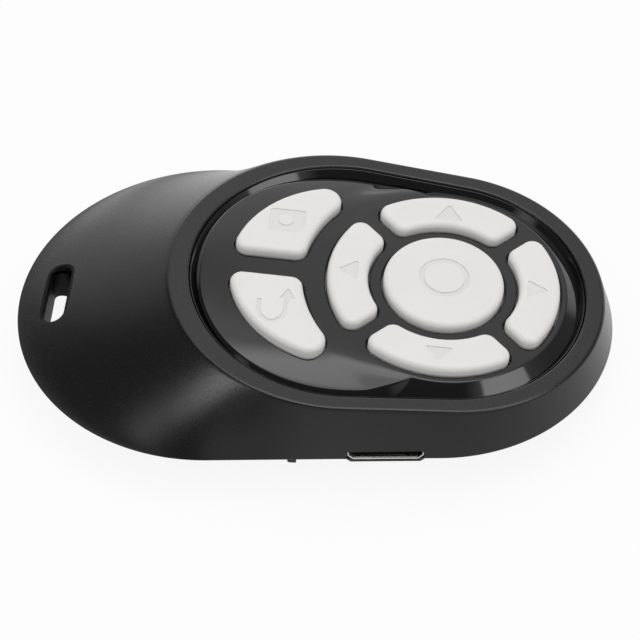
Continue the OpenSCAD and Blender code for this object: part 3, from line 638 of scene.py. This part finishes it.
def side_line():
    """The key between the tail lobe's border and the ring, with a pointed top and a flat foot."""
    ro, ri, y, c = SIDE_OUT, SIDE_IN, SIDE_Y, CORNER
    top = meet(-GAP, ro - TIP, 0, ri + TIP)
    back = np.array([-GAP - math.sqrt((ro - c) ** 2 - (y + c) ** 2), y + c])
    front = np.array([-math.sqrt((ri + c) ** 2 - (y + c) ** 2), y + c])

    def deg(v):
        return math.degrees(math.atan2(v[1], v[0]))

    pivot = np.array([-GAP, 0])
    bottom = np.column_stack([np.linspace(back[0], front[0], 14)[1:-1], np.zeros(12) + y])
    return outline(bottom, arc(front, c, -90, deg(-front), 16),
                   arc((0, 0), ri, deg(front), deg(top), 50),
                   arc(top, TIP, deg(-top), deg(top - pivot), 22),
                   arc(pivot, ro, deg(top - pivot), deg(back - pivot), 60),
                   arc(back, c, deg(back - pivot), 270, 16))


ARROW, SIDE = arrow_line(), side_line()
KEYS = {
    "ok": (arc((0, 0), OK_R, 0, 360, 145)[:-1], (0, 0)),
    "right": (ARROW, (ARROW_SPOT, 0)),
    "up": (turned(ARROW, 90), (0, ARROW_SPOT)),
    "left": (turned(ARROW, 180), (-ARROW_SPOT, 0)),
    "down": (turned(ARROW, 270), (0, -ARROW_SPOT)),
    "camera": (SIDE, SIDE_SPOT),
    "back": (mirrored(SIDE), (SIDE_SPOT[0], -SIDE_SPOT[1])),
}

# Symbols pressed into the key tops, each as outlines with their holes. Their faces take the symbol
# material, a little darker than the key: painted shade in the marks
SYMBOL_DEPTH, DRAFT, LINE_W = 0.09, 0.03, 0.42
MARK_ROUND, CAMERA_ROUND, TIP_ROUND = 0.18, 0.25, 0.1
CUT = KEY_TOP - SYMBOL_DEPTH
RING_SPOT, RING_OUT, RING_IN = (0, 0.3), 2.62, 2.06
LENS_SPOT, LENS_R = (-16.9, 6.0), 0.75
CAMERA = [(-18.6, 4.3), (-15.6, 4.3), (-14.9, 5.1), (-14.9, 7.5), (-18.6, 7.5)]
HOOK = [(-18.5, -5.3), (-18.5, -6.6), (-18.2, -7.5), (-17.5, -8.1), (-16.8, -8.1), (-16.1, -7.6),
        (-15.8, -6.8), (-15.75, -5.6), (-15.7, -4.9)]
HOOK_TIP = [(-16.5, -4.95), (-14.9, -4.95), (-15.7, -3.5)]


def circle(c, r, n):
    return arc(c, r, 0, 360, n + 1)[:-1]


def prism(shape, holes):
    """Tool for a symbol, upright on the pod, its walls leaning out a little."""
    o = add("tool", loft([pod(at(shape, CUT)), pod(at(grow(shape, DRAFT), KEY_TOP + 0.3))]), SHADED_SYMBOL)
    for h in holes:
        boolean(o, add("tool", loft([pod(at(h, z)) for z in (CUT - 1, KEY_TOP + 1)]), SHADED_SYMBOL),
                angle=SOFT)
    return o


def stroke(path, width):
    p = np.array(path, float)
    d = np.gradient(p, axis=0)
    n = np.stack([-d[:, 1], d[:, 0]], -1) / np.linalg.norm(d, axis=1, keepdims=True) * width / 2
    return outline((p - n), (p + n)[::-1])


def mark(*corners):
    return rounded(corners, MARK_ROUND)


SYMBOLS = {
    "ok": [(circle(RING_SPOT, RING_OUT, 72), [circle(RING_SPOT, RING_IN, 72)])],
    "up": [(mark((-1.5, 8.45), (1.5, 8.45), (0, 10.75)), [])],
    "down": [(mark((1.5, -9.15), (-1.5, -9.15), (0, -11.0)), [])],
    "left": [(mark((-8.9, -1.4), (-8.9, 1.4), (-10.96, 0)), [])],
    "right": [(mark((10.85, 0), (8.6, -1.25), (8.6, 1.25)), [])],
    "camera": [(rounded(CAMERA, CAMERA_ROUND), [circle(LENS_SPOT, LENS_R, 40)])],
    "back": [(stroke(HOOK, LINE_W), []), (rounded(HOOK_TIP, TIP_ROUND), [])],
}

# Keys: a flange under the plate, a cap with a round edge and a faint crown, and a post that
# goes down to the sheet
EDGE_STEPS, POST_SINK, CROWN, CROWN_RINGS = 8, 0.1, 0.05, ((0.25, 0.4), (0.5, 0))
for name, (line, spot) in KEYS.items():
    bottom = FLANGE_TOP - FLANGE_H
    rings = [at(grow(line, FLANGE_W), bottom), at(grow(line, FLANGE_W), FLANGE_TOP),
             at(line, FLANGE_TOP)]
    for k in range(EDGE_STEPS + 1):
        t = k / EDGE_STEPS * pi / 2
        rings.append(at(grow(line, -KEY_ROUND * (1 - math.cos(t))),
                        KEY_TOP - CROWN - KEY_ROUND * (1 - math.sin(t))))
    rings += [at(grow(line, -KEY_ROUND - inward), KEY_TOP - CROWN * share)
              for inward, share in CROWN_RINGS]
    key = add("cap_" + name, loft([pod(r) for r in rings]), [WHITE, SHADED_SYMBOL], HARD)
    start = bottom + POST_SINK
    foot = pod([spot[0], spot[1], start])
    aside = (foot[2] - POST_END) * math.tan(TILT)
    ring = circle((0, 0), POST_R, 32)
    post = loft([at(ring + [foot[0] - aside, foot[1]], POST_END), pod(at(ring + spot, start))])
    boolean(key, add("tool", post, WHITE), "UNION")
    for shape, holes in SYMBOLS[name]:
        boolean(key, prism(shape, holes))
    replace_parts(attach(key, name + "_key"), "key_" + name)

# Faceplate: pocket from below, edge, crest, moat wall and foot, then the slope and the lobes
crossing = meet(-GAP, PLATE_T, 0, PLATE_N)
kink = math.atan2(crossing[1], crossing[0] - MID)
A_PLATE = np.append(np.linspace(0, 2 * pi, 640, endpoint=False), (kink, 2 * pi - kink))
A_PLATE = np.unique(np.round(A_PLATE, 5))
EDGE_Z, CREST_IN, CREST_Z, WALL_IN, WALL_Z = -0.4, 0.08, -0.19, 0.18, -0.25
FOOT_IN, FOOT_MORE, FOOT_Z, FOOT_FLAT = 0.8, 0.38, -0.7, 0.015
POCKET_N, POCKET_T = 0.1, -1.35
STEEP_NOSE, STEEP_NEAR = 10, 1.6
SLOPE_STEPS, BORDER_STEPS, BORDER_MORE = 24, 14, 0.2
RING_MORE, EASE_TAIL, EASE_RING = 0.05, 0.04, 0.06
EDGE_IN = (0.05, 0.1, 0.16, 0.24, 0.36, 0.55, 0.8)
# Ring radii between which the tail lobe's borders start to fall, near and far side
FALL_NEAR, FALL_FAR, FALL_WIDTH, FALL_LEAST = 12.4, 12.9, 3.4, 0.15


def eased(x, k):
    """x where it is positive, else 0, with a round corner of the size k."""
    return (np.sqrt(x * x + k * k) + x) / 2


def tail_edge(across):
    """Radius of the tail lobe's edge, a little squarer than a circle."""
    return PLATE_T + TAIL_REACH * (1 - across) + TAIL_SQUARE * across * (1 - across)


def plate_height(a, r):
    """Height of the plate in its moat: a flat ring lobe, and a tail lobe with falling sides."""
    x, y = MID + r * cos(a), r * sin(a)
    ring, tail = np.hypot(x, y), np.hypot(x + GAP, y)
    across = (y / np.maximum(tail, 1)) ** 2
    edge = tail_edge(across)
    away = np.clip((ring - np.where(y > 0, FALL_FAR, FALL_NEAR)) / FALL_WIDTH, 0, 1)
    drop = (RISE - BORDER_Z) * (FALL_LEAST + (1 - FALL_LEAST) * across)
    drop = drop * away * away * (3 - 2 * away)
    fall = drop * np.clip((tail - edge + BORDER_W) / BORDER_W, 0, None) ** 2
    z_tail = RISE - np.where(tail < edge, fall, drop) - SLOPE * eased(tail - edge, EASE_TAIL)
    z_ring = RISE - SLOPE * eased(ring - PLATE_N - RING_MORE, EASE_RING)
    return z_ring + eased(z_tail - z_ring, EASE_RING)


def plate_rings():
    a = A_PLATE

    def rim(inset, z):
        return on_pod(a, rim_inner(a, inset), z)

    def top(r):
        return on_pod(a, r, plate_height(a, r))

    pocket = plateau(a, PLATE_N + POCKET_N, PLATE_T + POCKET_T)
    out = [on_pod(a, pocket, RISE - THICK), on_pod(a, pocket, -SEAT), rim(FIT, -SEAT)]
    side, crest, wall = rim(FIT, EDGE_Z), rim(FIT + CREST_IN, CREST_Z), rim(FIT + WALL_IN, WALL_Z)
    out += [side, *bend(side, rim(FIT, CREST_Z - 0.02), crest, 3), crest]
    out += [*bend(crest, rim(FIT + 0.12, CREST_Z - 0.01), wall, 4), wall]

    # The wall is steeper at the nose end and on the near side
    steeper = np.maximum(np.maximum(0, cos(a)) ** STEEP_NOSE, np.clip(-sin(a) * STEEP_NEAR, 0, 1))
    foot_r = rim_inner(a, FIT + FOOT_IN) + FOOT_MORE * steeper
    foot = on_pod(a, foot_r, FOOT_Z)
    out += [toward(wall, foot, 0.05), toward(foot, wall, 0.06), foot]

    base = foot_r - FOOT_FLAT
    tail_r = np.where(cos(a) < 0, tail_edge((sin(a) * 0.98) ** 2), PLATE_T)
    edge = np.minimum(plateau(a, PLATE_N, tail_r), base - 0.1)
    out += [top(base + (edge - base) * k / SLOPE_STEPS) for k in range(SLOPE_STEPS + 1)]
    out += [top(edge - d) for d in EDGE_IN]
    border = BORDER_W + BORDER_MORE - EDGE_IN[-1]
    return out + [top(edge - EDGE_IN[-1] - border * k / BORDER_STEPS)
                  for k in range(1, BORDER_STEPS + 1)]


HOLE_ROUND = 0.12


def hole(line):
    """Opening of a key, with a round edge at the top."""
    rings = [at(grow(line, KEY_GAP), z) for z in (-SEAT - 2, RISE - HOLE_ROUND)]
    rings += [at(grow(line, KEY_GAP + HOLE_ROUND * (1 - math.cos(t))),
                 RISE - HOLE_ROUND + HOLE_ROUND * math.sin(t)) for t in (pi / 6, pi / 3, pi / 2.1)]
    rings += [at(grow(line, KEY_GAP + HOLE_ROUND + 0.01), RISE + 0.5)]
    return add("tool", loft([pod(r) for r in rings]), MATS["plate_gloss"])


plate = add("plate", loft(plate_rings()), MATS["plate_gloss"], FINE)
for line, _ in KEYS.values():
    boolean(plate, hole(line), angle=FINE)
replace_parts(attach(plate, "housing"), "faceplate")

# Floor: pale, white to the camera apart from the shadow. In reflections it is darker in front
# of the part, from NEAR_Y, than behind it
NEAR_Y, FAR_Y, NEAR_GLOW, FAR_GLOW = -0.076, 0.0, 0.45, 1.09
MIRRORED_SHARE, SEEN_SHARE = 0.8, 0.9


def emit(t, strength=1.0):
    e = t.nodes.new("ShaderNodeEmission")
    e.inputs["Color"].default_value = (1, 1, 1, 1)
    e.inputs["Strength"].default_value = strength
    return e


def blend(t, share, first, second):
    mix = t.nodes.new("ShaderNodeMixShader")
    t.links.new(share, mix.inputs["Fac"])
    t.links.new(first, mix.inputs[1])
    t.links.new(second, mix.inputs[2])
    return mix.outputs[0]


def floor_material():
    m, t, b = node_mat("floor")
    b.inputs["Base Color"].default_value = (0.8, 0.8, 0.8, 1)
    b.inputs["Roughness"].default_value = 0.9
    b.inputs["Specular IOR Level"].default_value = 0.0
    path = t.nodes.new("ShaderNodeLightPath")
    where, split = t.nodes.new("ShaderNodeTexCoord"), t.nodes.new("ShaderNodeSeparateXYZ")
    t.links.new(where.outputs["Object"], split.inputs[0])
    glossy = emit(t)
    t.links.new(ramp(t, split.outputs["Y"], NEAR_Y, FAR_Y, NEAR_GLOW, FAR_GLOW),
                glossy.inputs["Strength"])
    mirrored = ramp(t, path.outputs["Is Glossy Ray"], 0, 1, 0, MIRRORED_SHARE)
    seen = ramp(t, path.outputs["Is Camera Ray"], 0, 1, 0, SEEN_SHARE)
    look = blend(t, mirrored, b.outputs["BSDF"], glossy.outputs[0])
    look = blend(t, seen, look, emit(t).outputs[0])
    t.links.new(look, t.nodes["Material Output"].inputs["Surface"])
    return m


bm = bmesh.new()
bmesh.ops.create_grid(bm, x_segments=1, y_segments=1, size=2)
floor = add("floor", bm, floor_material())

# Studio: a white world. What the glossy pieces mirror of it are soft panels on a plain grey,
# each with its azimuth and elevation, the angle within which it is full, the angle beyond which
# it ends, and its strength, below 0 for a dark flag
GREY, DARKEST, DIFFUSE, SEEN = 0.6, 0.12, 0.88, 1.0
PANELS = (
    ((47, 36), 54, 86, 0.59),
    ((106, 16), 8, 14, 1.83),
    ((-146, 28), 3, 13, 5.44),
    ((34, 83), 18, 26, 2.3),
    ((-17, 49), 11, 13, 2.9),
    ((58, 10), 14, 24, 1.0),
    ((194, 70), 42, 55, -1.0),
    ((-150, 50), 2, 12, 2.2),
    ((-115, 11), 7, 13, -0.33),
    ((33, 12), 24, 59, -0.9),
    ((101, 67), 3, 22, 1.26),
)
world = bpy.data.worlds.new("studio")
bpy.context.scene.world = world
world.use_nodes = True
t = world.node_tree
back = t.nodes["Background"]
back.inputs["Color"].default_value = (1, 1, 1, 1)
view, path = t.nodes.new("ShaderNodeTexCoord"), t.nodes.new("ShaderNodeLightPath")


def sums(kind, *values):
    n = t.nodes.new("ShaderNodeMath")
    n.operation = kind
    for i, v in enumerate(values):
        if isinstance(v, (int, float)):
            n.inputs[i].default_value = v
        else:
            t.links.new(v, n.inputs[i])
    return n.outputs[0]


def panel(way, full, none):
    """1 within the angle full of a direction of the studio, falling to 0 at the angle none."""
    az, el = [math.radians(v) for v in way]
    d = t.nodes.new("ShaderNodeVectorMath")
    d.operation = "DOT_PRODUCT"
    d.inputs[1].default_value = (math.cos(el) * math.cos(az), math.cos(el) * math.sin(az),
                                 math.sin(el))
    t.links.new(view.outputs["Generated"], d.inputs[0])
    r = t.nodes.new("ShaderNodeMapRange")
    r.interpolation_type = "SMOOTHSTEP"
    r.inputs["From Min"].default_value = math.cos(math.radians(none))
    r.inputs["From Max"].default_value = math.cos(math.radians(full))
    t.links.new(d.outputs["Value"], r.inputs["Value"])
    return r.outputs["Result"]


glow = GREY
for way, full, none, strength in PANELS:
    glow = sums("ADD", glow, sums("MULTIPLY", panel(way, full, none), strength))
glossy = sums("MULTIPLY", sums("MAXIMUM", glow, DARKEST), path.outputs["Is Glossy Ray"])
rest = sums("SUBTRACT", 1.0, path.outputs["Is Glossy Ray"])
plain = ramp(t, path.outputs["Is Camera Ray"], 0, 1, DIFFUSE, SEEN)
t.links.new(sums("ADD", glossy, sums("MULTIPLY", rest, plain)), back.inputs["Strength"])

# One soft lamp, left out of reflections
LAMP_SPOT, LAMP_SIZE, LAMP_POWER = Vector((0.1, 0.35, 0.75)), (0.5, 0.35), 1.4
light = bpy.data.lights.new("key_light", "AREA")
light.shape, light.energy = "RECTANGLE", LAMP_POWER
light.size, light.size_y = LAMP_SIZE
lamp = bpy.data.objects.new("key_light", light)
bpy.context.scene.collection.objects.link(lamp)
lamp.location = LAMP_SPOT
lamp.rotation_euler = (-LAMP_SPOT).to_track_quat("-Z", "Y").to_euler()
lamp.visible_glossy = False

# Camera, worked out from the photograph for a picture of 640 by 640 pixels. It was fitted in a
# level frame of the pod, whose middle and tilt in the part's frame are FIT_POD and FIT_TILT
PICTURE, FOCAL_PX, SENSOR = 640, 2494.1, 36
AZ, EL, ROLL = [math.radians(v) for v in (0.894, 48.579, -5.54)]
TARGET, DISTANCE = Vector((-12.166, -6.464, 0)), 252.04
FIT_POD, FIT_TILT = Vector((13.44, 0, 9.25)), math.radians(4.37)
back_v = Vector((math.sin(AZ) * math.cos(EL), -math.cos(AZ) * math.cos(EL), math.sin(EL)))
right_v = Vector((math.cos(AZ), math.sin(AZ), 0))
up_v = back_v.cross(right_v)
x_axis = math.cos(ROLL) * right_v - math.sin(ROLL) * up_v
y_axis = math.sin(ROLL) * right_v + math.cos(ROLL) * up_v
turn = Matrix.Rotation(FIT_TILT, 3, "Y")
place = Matrix([turn @ v for v in (x_axis, y_axis, back_v)]).transposed().to_4x4()
place.translation = (FIT_POD + turn @ (TARGET + back_v * DISTANCE)) * MM
data = bpy.data.cameras.new("camera")
data.sensor_width, data.lens = SENSOR, FOCAL_PX * SENSOR / PICTURE
data.clip_start = 0.01
camera = bpy.data.objects.new("camera", data)
bpy.context.scene.collection.objects.link(camera)
camera.matrix_world = place
bpy.context.scene.camera = camera
bpy.context.scene.view_settings.view_transform = "Standard"

bpy.context.view_layer.update()
